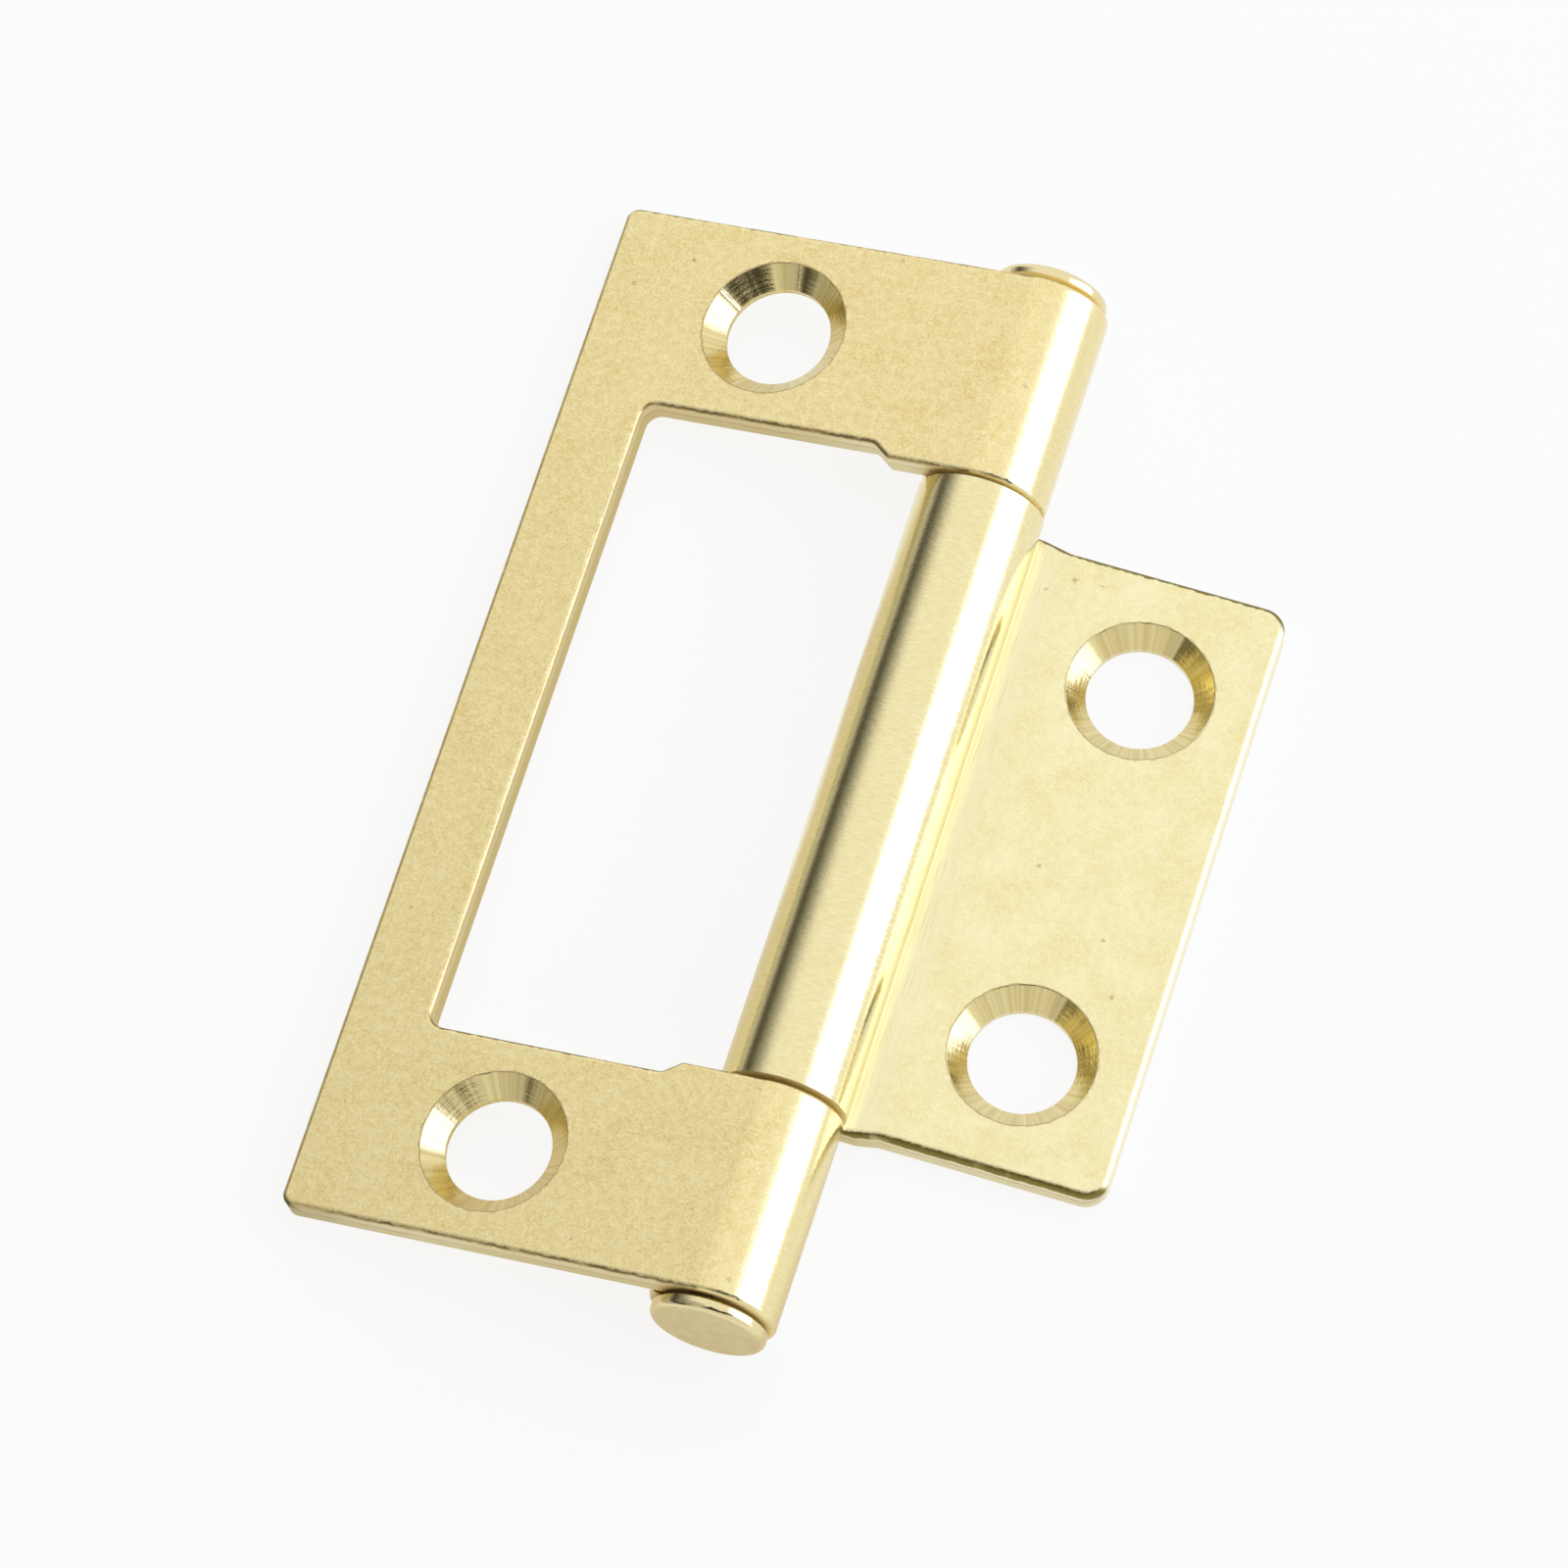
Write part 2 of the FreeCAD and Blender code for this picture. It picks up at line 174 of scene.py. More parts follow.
    # Sheared edges, and the ends of the knuckles.
    upright = add(tree, "ShaderNodeMath", [face.outputs["Z"]], operation="ABSOLUTE")
    steep = add(tree, "ShaderNodeMapRange", [upright, 0.55, 0.25], interpolation_type="SMOOTHSTEP")
    endwise = add(tree, "ShaderNodeMath", [face.outputs["Y"]], operation="ABSOLUTE")
    end_face = add(tree, "ShaderNodeMapRange", [endwise, 0.7, 0.9], interpolation_type="SMOOTHSTEP")
    plate_edge = add(tree, "ShaderNodeMath", [steep, on_plate], operation="MULTIPLY")
    plate_edge_past_hole = add(tree, "ShaderNodeMath", [plate_edge, past_hole], operation="MULTIPLY")
    knuckle_end = add(tree, "ShaderNodeMath", [end_face, rolled], operation="MULTIPLY")
    sheared = add(tree, "ShaderNodeMath", [plate_edge_past_hole, knuckle_end], operation="MAXIMUM")

    # A dark line at the top of the rounding. It wanders, breaks off and stops at the knuckle.
    wander = add(tree, "ShaderNodeMapRange", [patch, 0.3, 0.7, -0.03, 0.03])
    line_height = add(tree, "ShaderNodeMath", [at.outputs["Z"], wander], operation="ADD")
    line_top = add(tree, "ShaderNodeMapRange", [line_height, -0.01, -0.04])
    line_foot = add(tree, "ShaderNodeMapRange", [line_height, -line_depth - 0.05, -line_depth + 0.02])
    line_band = add(tree, "ShaderNodeMath", [line_top, line_foot], operation="MULTIPLY")
    off_face = add(tree, "ShaderNodeMapRange", [at.outputs["Z"], -0.004, -0.015])
    line_there = add(tree, "ShaderNodeMath", [line_band, off_face], operation="MULTIPLY")
    before_knuckle = add(tree, "ShaderNodeMapRange", [at.outputs["X"], 0.1, -0.1])
    line_on_plate = add(tree, "ShaderNodeMath", [line_there, before_knuckle], operation="MULTIPLY")
    line_past_hole = add(tree, "ShaderNodeMath", [line_on_plate, past_hole], operation="MULTIPLY")
    broken = add(tree, "ShaderNodeMapRange", [cloud, 0.36, 0.56, 0.25, 1.0])
    across = add(tree, "ShaderNodeMapRange", [endwise, 0.1, 0.45, line_shares[1], line_shares[0]])
    line_share_there = add(tree, "ShaderNodeMath", [broken, across], operation="MULTIPLY")
    line = add(tree, "ShaderNodeMath", [line_past_hole, line_share_there], operation="MULTIPLY")

    # The upper part of the edges is also darker within 1 mm of the free corners.
    corner_x = add(tree, "ShaderNodeMath", [at.outputs["X"], corner[0]], operation="ADD")
    corner_y = add(tree, "ShaderNodeMath", [along, corner[1]], operation="SUBTRACT")
    from_corner = add(tree, "ShaderNodeCombineXYZ", [corner_x, corner_y])
    corner_far = add(tree, "ShaderNodeVectorMath", [from_corner], operation="LENGTH")
    corner_ragged = add(tree, "ShaderNodeMath", [patch, 0.8, corner_far.outputs["Value"]],
                        operation="MULTIPLY_ADD")
    corner_near = add(tree, "ShaderNodeMapRange", [corner_ragged, 1.35, 0.85])
    off_top = add(tree, "ShaderNodeMapRange", [at.outputs["Z"], -0.02, -0.06])
    off_foot = add(tree, "ShaderNodeMapRange", [at.outputs["Z"], -0.5, -0.3])
    corner_band = add(tree, "ShaderNodeMath", [off_top, off_foot], operation="MULTIPLY")
    corner_mark = add(tree, "ShaderNodeMath", [corner_near, corner_band], operation="MULTIPLY")
    top_line = add(tree, "ShaderNodeMath", [line, corner_mark], operation="MAXIMUM")

    # A second thin line halfway down the edge, where the smooth band ends and the torn one starts.
    tear_shift = add(tree, "ShaderNodeMapRange", [cloud, 0.3, 0.7, -0.12, 0.12])
    tear_depth = add(tree, "ShaderNodeMath", [at.outputs["Z"], tear_shift], operation="ADD")
    torn = add(tree, "ShaderNodeMapRange", [tear_depth, -0.55, -0.62])
    from_tear = add(tree, "ShaderNodeMath", [tear_depth, TEAR_DEPTH], operation="ADD")
    tear_far = add(tree, "ShaderNodeMath", [from_tear], operation="ABSOLUTE")
    tear_band = add(tree, "ShaderNodeMapRange", [tear_far, 0.07, 0.02, 0.0, 0.45])
    tear_there = add(tree, "ShaderNodeMath", [tear_band, plate_edge_past_hole], operation="MULTIPLY")
    tear_line = add(tree, "ShaderNodeMath", [tear_there, line_share_there], operation="MULTIPLY")
    dark_edge_line = add(tree, "ShaderNodeMath", [top_line, tear_line], operation="MAXIMUM")

    # Painted shade at the rim of the countersink: an irregular brown line about 0.1 mm wide that stands for
    # the dark line a rounded rim would show.
    rim_shift = add(tree, "ShaderNodeMapRange", [patch, 0.3, 0.7, -0.04, 0.04])
    rim_radius = add(tree, "ShaderNodeMath", [hole_radius, rim_shift], operation="ADD")
    rim_off = add(tree, "ShaderNodeMath", [rim_radius, MOUTH / 2 + 0.01], operation="SUBTRACT")
    rim_far = add(tree, "ShaderNodeMath", [rim_off], operation="ABSOLUTE")
    rim_shade_all = add(tree, "ShaderNodeMapRange", [rim_far, 0.06, 0.01, 0.0, 0.45])
    rim_shade_line = add(tree, "ShaderNodeMath", [rim_shade_all, off_back], operation="MULTIPLY")

    # Dirt under the plating: ragged spots up to 0.3 mm wide, at a third of the scattered points.
    spots = add(tree, "ShaderNodeTexVoronoi", {"Vector": leaf, "Scale": 1 / DIRT_SPACING, "Randomness": 1.0})
    spot_number = add(tree, "ShaderNodeSeparateXYZ", [spots.outputs["Color"]])
    spot_size = add(tree, "ShaderNodeMapRange", [spot_number.outputs["X"], 0.66, 1.0, 0.0, 0.13])
    spot_edge = add(tree, "ShaderNodeMath", [spots.outputs["Distance"], spot_size], operation="SUBTRACT")
    spot_ragged = add(tree, "ShaderNodeMapRange", [speck, 0.2, 0.8, -0.06, 0.06])
    spot_shape = add(tree, "ShaderNodeMath", [spot_edge, spot_ragged], operation="ADD")
    fleck = add(tree, "ShaderNodeMapRange", [spot_shape, 0.0, -0.05, 0.0, 0.45])

    # Scratches along the pin, 0.06 mm wide and 3 mm long, on the plate beside the knuckle, which is also
    # painted pale there as a painted sheen.
    scratch_at = add(tree, "ShaderNodeVectorMath", [leaf, (16.0, 0.35, 1.0)], operation="MULTIPLY")
    scratch_run = add(tree, "ShaderNodeTexNoise", {"Vector": scratch_at, "Scale": 1.0, "Detail": 2.0})
    near_root = add(tree, "ShaderNodeMapRange", [at.outputs["X"], -4.6, -3.0],
                    interpolation_type="SMOOTHSTEP")
    root_there = add(tree, "ShaderNodeMath", [near_root, on_plate], operation="MULTIPLY")
    root = add(tree, "ShaderNodeMath", [root_there, root_sheen_and_scratch_share], operation="MULTIPLY")
    root_streak = add(tree, "ShaderNodeMapRange", [scratch_run, 0.54, 0.66, 0.0, 0.55])
    root_marks = add(tree, "ShaderNodeMath", [root_streak, root], operation="MULTIPLY")

    # Painted reflection: a golden line 0.1 mm wide along the crease where the knuckle leaves the plate stands
    # for the knuckle mirrored in the plate there.
    from_crease = add(tree, "ShaderNodeMath", [at.outputs["X"], CREASE_FROM_AXIS], operation="ADD")
    crease_far = add(tree, "ShaderNodeMath", [from_crease], operation="ABSOLUTE")
    crease = add(tree, "ShaderNodeMapRange", [crease_far, 0.09, 0.03, 0.0, 0.4 * root_sheen_and_scratch_share])
    scratches_and_crease_reflection = add(tree, "ShaderNodeMath", [root_marks, crease], operation="MAXIMUM")

    # Burnishing marks of the rolling tool, 0.1 mm wide and 0.5 mm long, lie round the pin.
    axis_side = add(tree, "ShaderNodeMath", [at.outputs["Z"], axis_height], operation="SUBTRACT")
    round_pin = add(tree, "ShaderNodeMath", [at.outputs["X"], axis_side], operation="ARCTAN2")
    burnish_at = add(tree, "ShaderNodeCombineXYZ", [at.outputs["Y"], round_pin])
    burnish_run = add(tree, "ShaderNodeVectorMath", [burnish_at, (9.0, 6.0, 1.0)], operation="MULTIPLY")
    burnish = add(tree, "ShaderNodeTexNoise", {"Vector": burnish_run, "Scale": 1.0, "Detail": 3.0})

    # In the countersink: flats 1.5 mm long from chatter, rings 0.1 mm apart, streaks 0.2 mm apart down it.
    flats_at = add(tree, "ShaderNodeVectorMath", [bearing, (1.9, 1.9, 1.0)], operation="MULTIPLY")
    flats = add(tree, "ShaderNodeTexVoronoi", {"Vector": flats_at, "Scale": 1.0}, voronoi_dimensions="2D")
    ring = add(tree, "ShaderNodeTexNoise", {"W": hole_radius, "Scale": 10.0, "Detail": 2.0},
               noise_dimensions="1D")
    streaks_at = add(tree, "ShaderNodeVectorMath", [bearing, (16.0, 16.0, 1.0)], operation="MULTIPLY")
    streaks = add(tree, "ShaderNodeTexNoise", {"Vector": streaks_at, "Scale": 1.0, "Detail": 2.0},
                  noise_dimensions="2D")

    # Grooves across the torn part of a sheared edge, 0.1 mm apart.
    grooves_at = add(tree, "ShaderNodeVectorMath", [leaf, (9.0, 9.0, 1.2)], operation="MULTIPLY")
    groove = add(tree, "ShaderNodeTexNoise", {"Vector": grooves_at, "Scale": 1.0, "Detail": 3.0})

    # Colours, each laid over the one before: sheet, root, gold, dirt, knuckle, countersink, edges and lines.
    mottle = add(tree, "ShaderNodeMath", [speck, 1.7, patch], operation="MULTIPLY_ADD")
    clouded = add(tree, "ShaderNodeMath", [cloud, 0.8, mottle], operation="MULTIPLY_ADD")
    mottled = add(tree, "ShaderNodeMapRange", [clouded, 1.3, 2.2])
    sheet_tone = add(tree, "ShaderNodeMix", {0: mottled, 6: colour(dark), 7: colour(light)}, data_type="RGBA")
    cloud_share = add(tree, "ShaderNodeMapRange", [cloud, 0.42, 0.66, 0.0, 0.25])
    cloud_tone = add(tree, "ShaderNodeMix", {0: cloud_share, 6: sheet_tone.outputs[2], 7: colour(cloudy)},
                     data_type="RGBA")
    # Painted sheen: the plate beside the knuckle is painted pale for the bright reflection there.
    root_sheen_tone = add(tree, "ShaderNodeMix", {0: root, 6: cloud_tone.outputs[2], 7: colour(ROOT_SHEEN_PALE)},
                    data_type="RGBA")
    # The scratches in gold, with the painted reflection along the crease.
    with_scratches_and_crease_reflection = add(tree, "ShaderNodeMix", {0: scratches_and_crease_reflection, 6: root_sheen_tone.outputs[2], 7: colour(SCRATCH_AND_CREASE_REFLECTION_GOLD)},
                    data_type="RGBA")
    flecked = add(tree, "ShaderNodeMix", {0: fleck, 6: with_scratches_and_crease_reflection.outputs[2], 7: colour(DIRT_BROWN)},
                  data_type="RGBA")
    burnish_share = add(tree, "ShaderNodeMapRange", [burnish, 0.35, 0.65])
    burnish_tone = add(tree, "ShaderNodeMix", {0: burnish_share, 6: colour(burnished[0]),
                                               7: colour(burnished[1])}, data_type="RGBA")
    polished_part = add(tree, "ShaderNodeMath", [rolled, 0.7], operation="MULTIPLY")
    roll_tone = add(tree, "ShaderNodeMix", {0: polished_part, 6: flecked.outputs[2],
                                            7: burnish_tone.outputs[2]}, data_type="RGBA")
    end_wall = add(tree, "ShaderNodeMix", {0: torn, 6: colour(END_WALLS[0]), 7: colour(END_WALLS[1])},
                   data_type="RGBA")
    # On the smaller leaf these tones are pale, a painted highlight on the free edge that faces the light.
    side_wall_tone_and_sheen = add(tree, "ShaderNodeMix", {0: torn, 6: colour(side_wall_tones_and_sheen[0]), 7: colour(side_wall_tones_and_sheen[1])},
                    data_type="RGBA")
    wall_tone = add(tree, "ShaderNodeMix", {0: endwise, 6: side_wall_tone_and_sheen.outputs[2], 7: end_wall.outputs[2]},
                    data_type="RGBA")
    streak_share = add(tree, "ShaderNodeMapRange", [streaks, 0.35, 0.65])
    # Painted shade: the countersink is painted darker for the shade inside the hole, streaked between two
    # tones.
    shaded_cut_tone = add(tree, "ShaderNodeMix", {0: streak_share, 6: colour(SHADED_CUT_TONES[0]),
                                           7: colour(SHADED_CUT_TONES[1])}, data_type="RGBA")
    turned_tone = add(tree, "ShaderNodeMix", {0: in_mouth, 6: roll_tone.outputs[2], 7: shaded_cut_tone.outputs[2]},
                      data_type="RGBA")
    with_walls = add(tree, "ShaderNodeMix", {0: sheared, 6: turned_tone.outputs[2], 7: wall_tone.outputs[2]},
                     data_type="RGBA")
    # Painted light on the knuckles' ends, for their narrow gaps.
    with_gaps = add(tree, "ShaderNodeMix", {0: knuckle_end, 6: with_walls.outputs[2],
                                            7: colour(KNUCKLE_END_GAP_LIGHT)}, data_type="RGBA")
    with_line = add(tree, "ShaderNodeMix", {0: dark_edge_line, 6: with_gaps.outputs[2], 7: colour(line_tone)},
                    data_type="RGBA")
    # Painted shade along the countersinks' rims.
    tone = add(tree, "ShaderNodeMix", {0: rim_shade_line, 6: with_line.outputs[2], 7: colour(RIM_SHADE_BROWN)},
               data_type="RGBA")

    # Roughness.
    sheet_rough = add(tree, "ShaderNodeMapRange", [clouded, 1.3, 2.2, 0.37, 0.29])
    root_rough = add(tree, "ShaderNodeMix", {0: root, 2: sheet_rough, 3: 0.4})
    roll_rough = add(tree, "ShaderNodeMix", {0: rolled, 2: root_rough, 3: 0.17})
    hole_rough = add(tree, "ShaderNodeMix", {0: in_mouth, 2: roll_rough, 3: 0.15})
    marked = add(tree, "ShaderNodeMath", [sheared, dark_edge_line], operation="MAXIMUM")
    rough = add(tree, "ShaderNodeMix", {0: marked, 2: hole_rough, 3: 0.42})

    # Relief, as heights in millimetres.
    sheet_part = add(tree, "ShaderNodeMath", [on_plate, past_hole], operation="MULTIPLY")
    grain_height = add(tree, "ShaderNodeMapRange", [sheet_part, 0.0, 1.0, 0.003, 0.0032])
    grain = add(tree, "ShaderNodeMath", [speck, grain_height], operation="MULTIPLY")
    dimple_height = add(tree, "ShaderNodeMapRange", [sheet_part, 0.0, 1.0, 0.004, 0.007])
    dimples = add(tree, "ShaderNodeMath", [patch, dimple_height], operation="MULTIPLY")
    burnished_there = add(tree, "ShaderNodeMath", [rolled, 0.005], operation="MULTIPLY")
    burnish_marks = add(tree, "ShaderNodeMath", [burnish, burnished_there], operation="MULTIPLY")
    flat_marks = add(tree, "ShaderNodeMath", [flats.outputs["Distance"], 0.05], operation="MULTIPLY")
    ring_marks = add(tree, "ShaderNodeMath", [ring, 0.003], operation="MULTIPLY")
    streak_marks = add(tree, "ShaderNodeMath", [streaks, 0.004], operation="MULTIPLY")
    turned = add(tree, "ShaderNodeMath", [flat_marks, ring_marks], operation="ADD")
    cut = add(tree, "ShaderNodeMath", [turned, streak_marks], operation="ADD")
    cut_there = add(tree, "ShaderNodeMath", [cut, in_mouth], operation="MULTIPLY")
    torn_edge = add(tree, "ShaderNodeMath", [sheared, torn], operation="MULTIPLY")
    grooves = add(tree, "ShaderNodeMath", [groove, torn_edge], operation="MULTIPLY")
    groove_marks = add(tree, "ShaderNodeMath", [grooves, 0.012], operation="MULTIPLY")
    nick_marks = add(tree, "ShaderNodeMath", [speck, dark_edge_line], operation="MULTIPLY")
    nicks = add(tree, "ShaderNodeMath", [nick_marks, 0.012], operation="MULTIPLY")
    scratch_there = add(tree, "ShaderNodeMath", [root, 0.0015], operation="MULTIPLY")
    scratches = add(tree, "ShaderNodeMath", [scratch_run, scratch_there], operation="MULTIPLY")
    heights = grain
    for marks in (dimples, burnish_marks, cut_there, groove_marks, nicks, scratches):
        heights = add(tree, "ShaderNodeMath", [heights, marks], operation="ADD")
    relief = add(tree, "ShaderNodeBump", {"Strength": 1.0, "Distance": MM, "Height": heights})

    # Painted light: the knuckles' ends lose most of their mirror and take a pale gold, which lightens their
    # narrow gaps.
    dull = add(tree, "ShaderNodeMapRange", [knuckle_end, 0.0, 1.0, 1.0, 0.1])
    metal = add(tree, "ShaderNodeBsdfPrincipled", {
        "Base Color": tone.outputs[2],
        "Metallic": dull,
        "Roughness": rough,
        "Normal": relief,
    })
    tree.links.new(metal.outputs[0], end.inputs["Surface"])
    return material


def pin_finish(name):
    """Brass-plated steel pin whose heads were formed cold: bright rounded rims, and flat ends with a faint
    satin grain from the forming tool, duller and more mottled than the rim. The shank shows only in the
    gaps, where it is painted a warm gold that stands for the light in them."""
    material, tree, end = new_material(name)
    spot = add(tree, "ShaderNodeTexCoord")
    pin = add(tree, "ShaderNodeMapping", [spot.outputs["Object"], (0, 0, -CENTRE_KNUCKLE), None,
                                          (1 / MM, 1 / MM, 1 / MM)])
    at = add(tree, "ShaderNodeSeparateXYZ", [pin])
    along = add(tree, "ShaderNodeMath", [at.outputs["Y"]], operation="ABSOLUTE")
    flat = add(tree, "ShaderNodeMapRange", [along, HEAD_END - 0.04, HEAD_END - 0.01])
    inner = add(tree, "ShaderNodeMapRange", [along, HEAD_START + 0.2, HEAD_START])
    speck = add(tree, "ShaderNodeTexNoise", {"Vector": pin, "Scale": 1 / PIN_SPECK, "Detail": 3.0})
    patch = add(tree, "ShaderNodeTexNoise", {"Vector": pin, "Scale": 1 / PIN_PATCH, "Detail": 2.0})
    rim_tone = add(tree, "ShaderNodeMix", {0: speck, 6: colour(PIN_RIM[0]), 7: colour(PIN_RIM[1])},
                   data_type="RGBA")
    end_tone = add(tree, "ShaderNodeMix", {0: patch, 6: colour(PIN_END[0]), 7: colour(PIN_END[1])},
                   data_type="RGBA")
    with_end = add(tree, "ShaderNodeMix", {0: flat, 6: rim_tone.outputs[2], 7: end_tone.outputs[2]},
                   data_type="RGBA")
    # Painted light: the shank in the gaps takes a warm gold that lightens them.
    tone = add(tree, "ShaderNodeMix", {0: inner, 6: with_end.outputs[2], 7: colour(PIN_SHANK_GAP_LIGHT)},
               data_type="RGBA")
    rough = add(tree, "ShaderNodeMix", {0: flat, 2: 0.14, 3: 0.34})
    relief = add(tree, "ShaderNodeBump", {"Strength": 1.0, "Distance": 0.003 * MM, "Height": speck})
    metal = add(tree, "ShaderNodeBsdfPrincipled", {
        "Base Color": tone.outputs[2],
        "Metallic": 1.0,
        "Roughness": rough,
        "Normal": relief,
    })
    tree.links.new(metal.outputs[0], end.inputs["Surface"])
    return material


def finish_node(name, material):
    """Put a finish on a node of the part, in every slot it has."""
    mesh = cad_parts[name].data
    if not mesh.materials:
        mesh.materials.append(material)
    for slot in range(len(mesh.materials)):
        mesh.materials[slot] = material


def card(name, points, ways, tint, radiance):
    """A card of the studio on a grid of points. Ways holds the share of the way from each border to where
    the card is whole: with t that share, t squared times (3 - 2 t) of it is there. It lights or darkens what
    the metal mirrors, and the camera doesn't see it."""
    ways = np.clip(ways, 0.0, 1.0)
    there = np.prod(ways * ways * (3.0 - 2.0 * ways), axis=0)
    steps = len(points)
    i, j = np.meshgrid(np.arange(steps - 1), np.arange(steps - 1), indexing="ij")
    corner = (i * steps + j).ravel()
    faces = np.stack([corner, corner + 1, corner + steps + 1, corner + steps], -1)
    mesh = bpy.data.meshes.new(name)
    mesh.from_pydata(points.reshape(-1, 3).tolist(), [], faces.tolist())
    mesh.attributes.new("there", "FLOAT", "POINT").data.foreach_set("value", there.ravel())
    material, tree, end = new_material(name)
    share = add(tree, "ShaderNodeAttribute", attribute_name="there")
    glow = add(tree, "ShaderNodeEmission", [colour(tint), radiance])
    clear = add(tree, "ShaderNodeBsdfTransparent")
    mixed = add(tree, "ShaderNodeMixShader", [share.outputs["Fac"], clear, glow])
    tree.links.new(mixed.outputs[0], end.inputs["Surface"])
    mesh.materials.append(material)
    item = bpy.data.objects.new(name, mesh)
    item.visible_camera = False
    bpy.context.scene.collection.objects.link(item)
    return item


def round_card(name, bearings, heights, fades, distance, tint, radiance):
    """A card that is part of a sphere round the hinge. Its point at bearing b and height h, both in degrees,
    is distance times (cos b cos h, sin b cos h, sin h). Bearing 0 is +X and 90 is +Y. Fades are the degrees
    over which it thins out at its first and last bearing and at its foot and top."""
    bearing, height = np.meshgrid(np.linspace(*bearings, CARD_STEPS),
                                  np.linspace(*heights, CARD_STEPS), indexing="ij")
    b = np.radians(bearing)
    h = np.radians(height)
    points = distance * np.stack([np.cos(b) * np.cos(h), np.sin(b) * np.cos(h), np.sin(h)], -1)
    ways = np.stack([(bearing - bearings[0]) / fades[0], (bearings[1] - bearing) / fades[1],
                     (height - heights[0]) / fades[2], (heights[1] - height) / fades[3]])
    return card(name, points, ways, tint, radiance)


def table_card(name, bearings, radii, fades, tint, radiance):
    """A card that lies on the table round the hinge. Its point at bearing b and radius r is (r cos b,
    r sin b) just over the table. Fades are in degrees at its first and last bearing, and in metres at its
    near and far border. Only what the metal mirrors is changed by it."""
    bearing, radius = np.meshgrid(np.linspace(*bearings, CARD_STEPS),
                                  np.linspace(*radii, CARD_STEPS), indexing="ij")
    b = np.radians(bearing)
    points = np.stack([radius * np.cos(b), radius * np.sin(b), np.full_like(b, CARD_LEVEL)], -1)
    ways = np.stack([(bearing - bearings[0]) / fades[0], (bearings[1] - bearing) / fades[1],
                     (radius - radii[0]) / fades[2], (radii[1] - radius) / fades[3]])
    item = card(name, points, ways, tint, radiance)
    item.visible_diffuse = False
    item.visible_shadow = False
    return item


def studio_floor():
    """A white paper sweep under the hinge, wide enough to run out of sight. The camera and the metal's
    mirror see most of it as plain white, and the rest of it carries the hinge's shadow."""
    mesh = bpy.data.meshes.new("floor")
    corners = [(x * PAPER_HALF, y * PAPER_HALF, PAPER_LEVEL) for x, y in ((-1, -1), (1, -1), (1, 1), (-1, 1))]
    mesh.from_pydata(corners, [], [(0, 1, 2, 3)])
    material, tree, end = new_material("matt_white_paper_sweep")
    rays = add(tree, "ShaderNodeLightPath")
    seen = add(tree, "ShaderNodeMath", [rays.outputs["Is Camera Ray"], rays.outputs["Is Glossy Ray"]],
               operation="MAXIMUM")
    shown = add(tree, "ShaderNodeMath", [seen, rays.outputs["Is Transmission Ray"]], operation="MAXIMUM")
    share = add(tree, "ShaderNodeMath", [shown, PAPER_WHITE], operation="MULTIPLY")
    paper = add(tree, "ShaderNodeBsdfDiffuse", [colour(PAPER_TONE)])
    white = add(tree, "ShaderNodeEmission", [(1.0, 1.0, 1.0, 1.0), 1.0])
    mixed = add(tree, "ShaderNodeMixShader", [share, paper, white])
    tree.links.new(mixed.outputs[0], end.inputs["Surface"])
    mesh.materials.append(material)
    floor = bpy.data.objects.new("floor", mesh)
    bpy.context.scene.collection.objects.link(floor)


def studio_sky():
    """A plain white tent all round."""
    world = bpy.data.worlds.new("white_tent")
    world.use_nodes = True
    world.node_tree.nodes.clear()
    glow = add(world.node_tree, "ShaderNodeBackground", [(1.0, 1.0, 1.0, 1.0), 1.0])
    end = world.node_tree.nodes.new("ShaderNodeOutputWorld")
    world.node_tree.links.new(glow.outputs[0], end.inputs["Surface"])
    bpy.context.scene.world = world


def photo_camera():
    """A long lens at the photograph's angle. It looks at the target from its bearing and height, then turns
    about its own line of sight by the roll."""
    data = bpy.data.cameras.new("camera")
    data.lens = LENS
    data.sensor_width = SENSOR_WIDTH
    data.clip_start = 0.01
    data.clip_end = 10.0
    camera = bpy.data.objects.new("camera", data)
    back = Vector((math.sin(VIEW_AZIMUTH) * math.cos(VIEW_ELEVATION),
                   -math.cos(VIEW_AZIMUTH) * math.cos(VIEW_ELEVATION),
                   math.sin(VIEW_ELEVATION)))
    aim = (-back).to_track_quat("-Z", "Y").to_matrix().to_4x4()
    camera.matrix_world = (Matrix.Translation(VIEW_TARGET + back * VIEW_DISTANCE) @ aim
                           @ Matrix.Rotation(VIEW_ROLL, 4, "Z"))
    bpy.context.scene.collection.objects.link(camera)
    bpy.context.scene.camera = camera


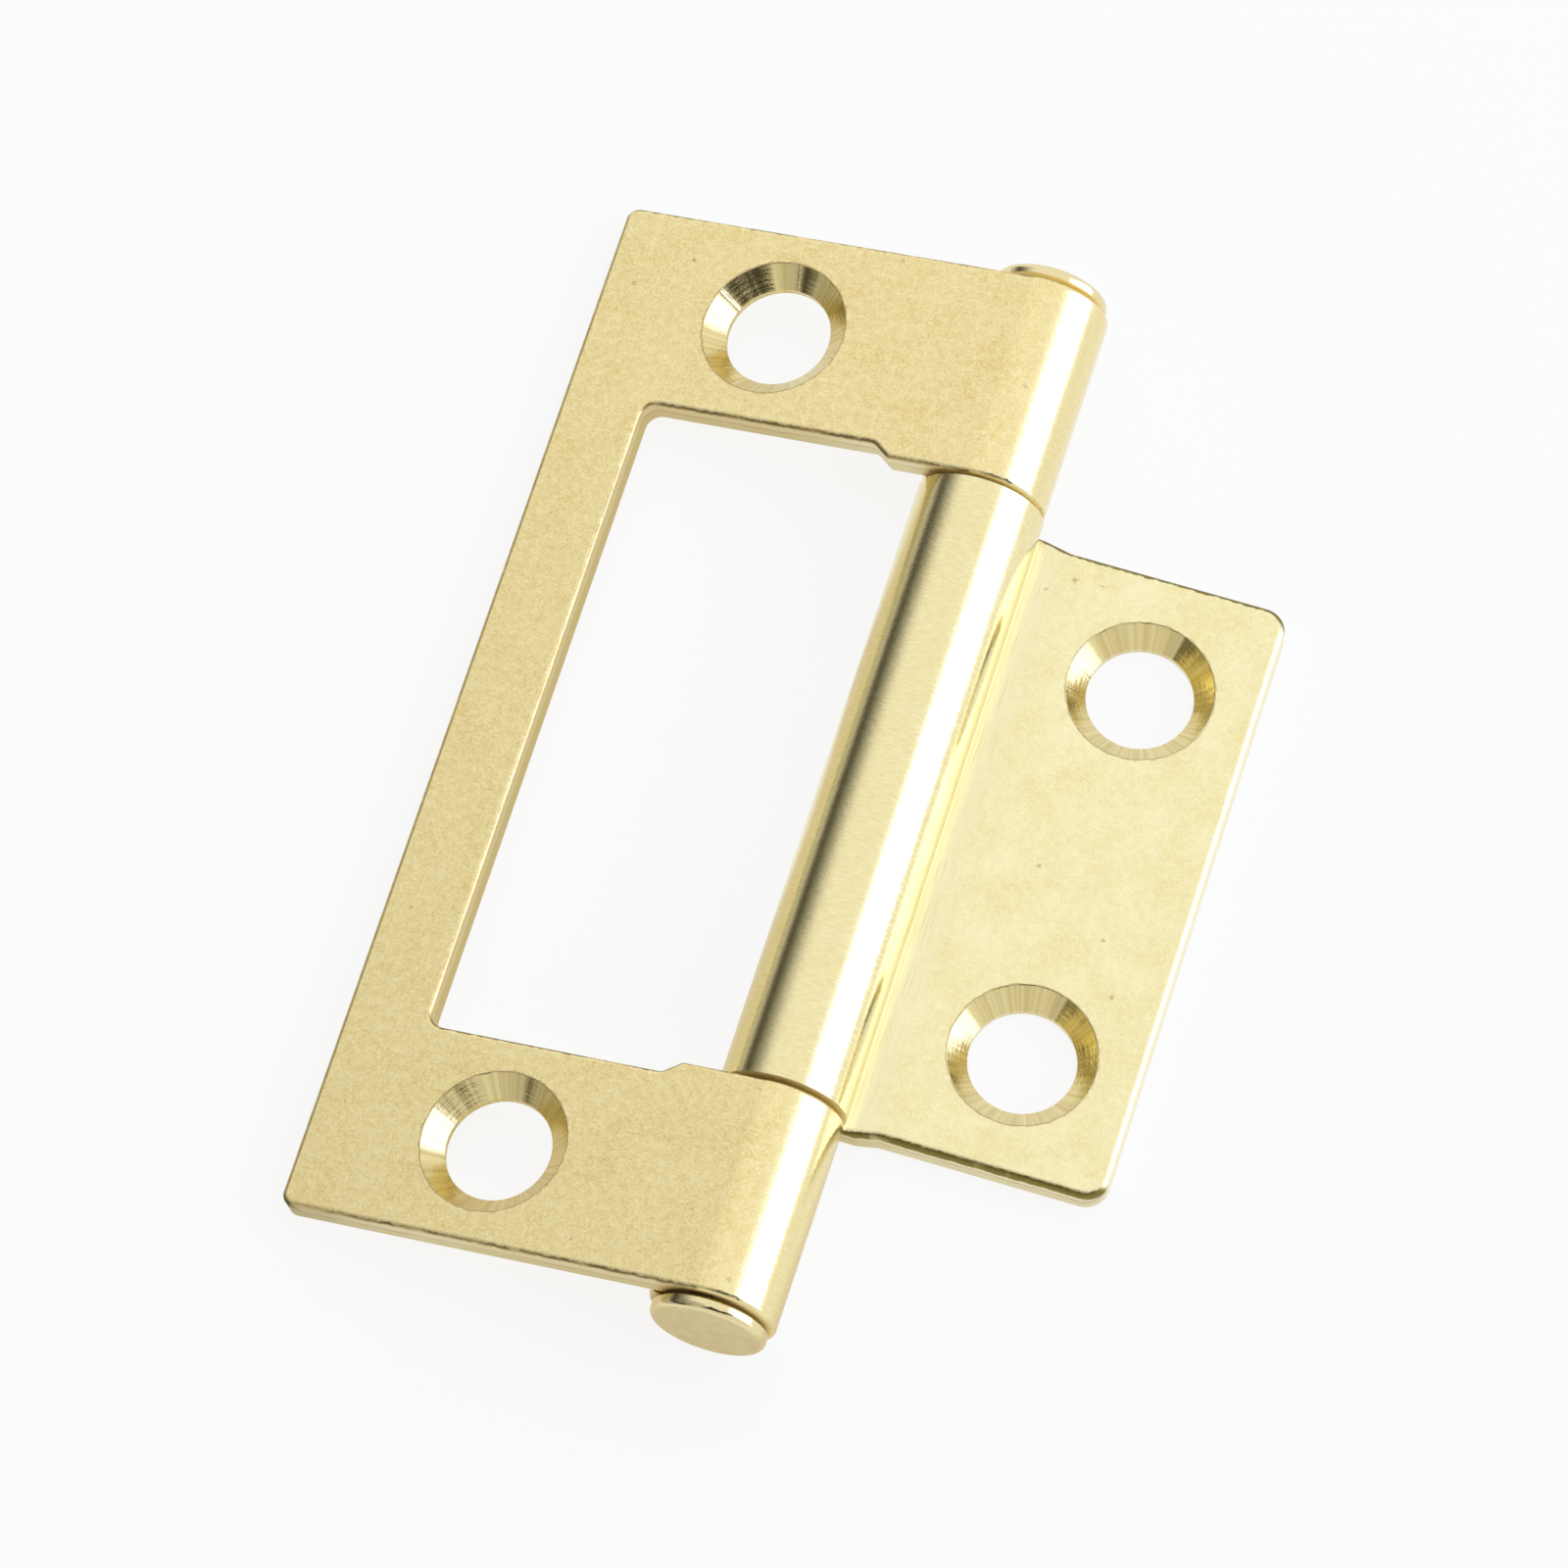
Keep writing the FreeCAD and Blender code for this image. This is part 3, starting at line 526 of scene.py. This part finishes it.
outer_finish = leaf_finish(
    "brass_plated_steel_larger_leaf",
    light="#FFF5BF", dark="#EDD28C", cloudy="#EFD898", burnished=("#E9DAA2", "#F2E5B0"),
    side_wall_tones_and_sheen=("#EDDFAE", "#E0D09A"), line_tone="#75603A", line_shares=(0.85, 0.3), line_depth=0.12,
    root_sheen_and_scratch_share=0.0, turn=(0, SLOPE, 0),
    place=(-CENTRE_KNUCKLE * math.sin(SLOPE), 0, -CENTRE_KNUCKLE * math.cos(SLOPE) - END_KNUCKLE),
    hole=OUTER_HOLE, corner=OUTER_CORNER, axis_height=-END_KNUCKLE)
inner_finish = leaf_finish(
    "brass_plated_steel_smaller_leaf",
    light="#FFF5C6", dark="#F1E3A6", cloudy="#FFFAD6", burnished=("#E6D8A0", "#F4E7B4"),
    # The pale side walls are a painted highlight on the free edge, which faces the light.
    side_wall_tones_and_sheen=("#FAF3DA", "#F4EBC8"), line_tone="#857A40", line_shares=(1.7, 0.0), line_depth=0.26,
    root_sheen_and_scratch_share=0.8, turn=(0, 0, math.pi),
    place=(0, 0, -SHEET),
    hole=INNER_HOLE, corner=INNER_CORNER, axis_height=CENTRE_BORE)
finish_node("outer_leaf", outer_finish)
finish_node("inner_leaf", inner_finish)
finish_node("hinge_pin", pin_finish("brass_plated_formed_pin"))

studio_floor()
studio_sky()
# Each card: bearings and heights, fades, distance in metres, tint and strength. White is 1.
round_card("softbox", (-7, 47), (1, 54), (1.5, 10, 3, 9), 0.9, "#D0DCFF", 3.4)
round_card("dark_room_left", (138, 241), (-8, 56), (16, 6, 20, 43), 1.0, "#FFF8D8", 0.06)
round_card("grey_ceiling_left", (146, 262), (20, 82), (26, 30, 15, 26), 1.2, "#FFFFFF", 0.55)
round_card("dark_stand_front", (-116, -52), (36, 88), (8, 4, 2, 6), 0.28, "#FFF8D8", 0.04)
round_card("dark_stand_right", (-56, -4), (42, 64), (4, 1.5, 2, 4), 0.28, "#FFF8D8", 0.04)
round_card("grey_front_low", (-122, -8), (-3, 42), (6, 22, 3, 2), 0.6, "#FFFFFF", 0.86)
round_card("grey_front_left", (-126, -96), (-3, 38), (5, 22, 3, 2), 0.55, "#FFFFFF", 0.66)
round_card("grey_back_low", (55, 130), (-2, 17), (15, 15, 3, 7), 0.8, "#FFFFFF", 0.92)
# Each table card: bearings and radii, fades, tint and strength.
table_card("grey_table_near", (112, 292), (0.0055, 0.034), (14, 14, 0.003, 0.008), "#FFF6E2", 0.76)
table_card("grey_table_left", (128, 246), (0.024, 0.5), (12, 12, 0.006, 0.2), "#FFF8E0", 0.5)

photo_camera()
bpy.context.scene.view_settings.view_transform = "Standard"
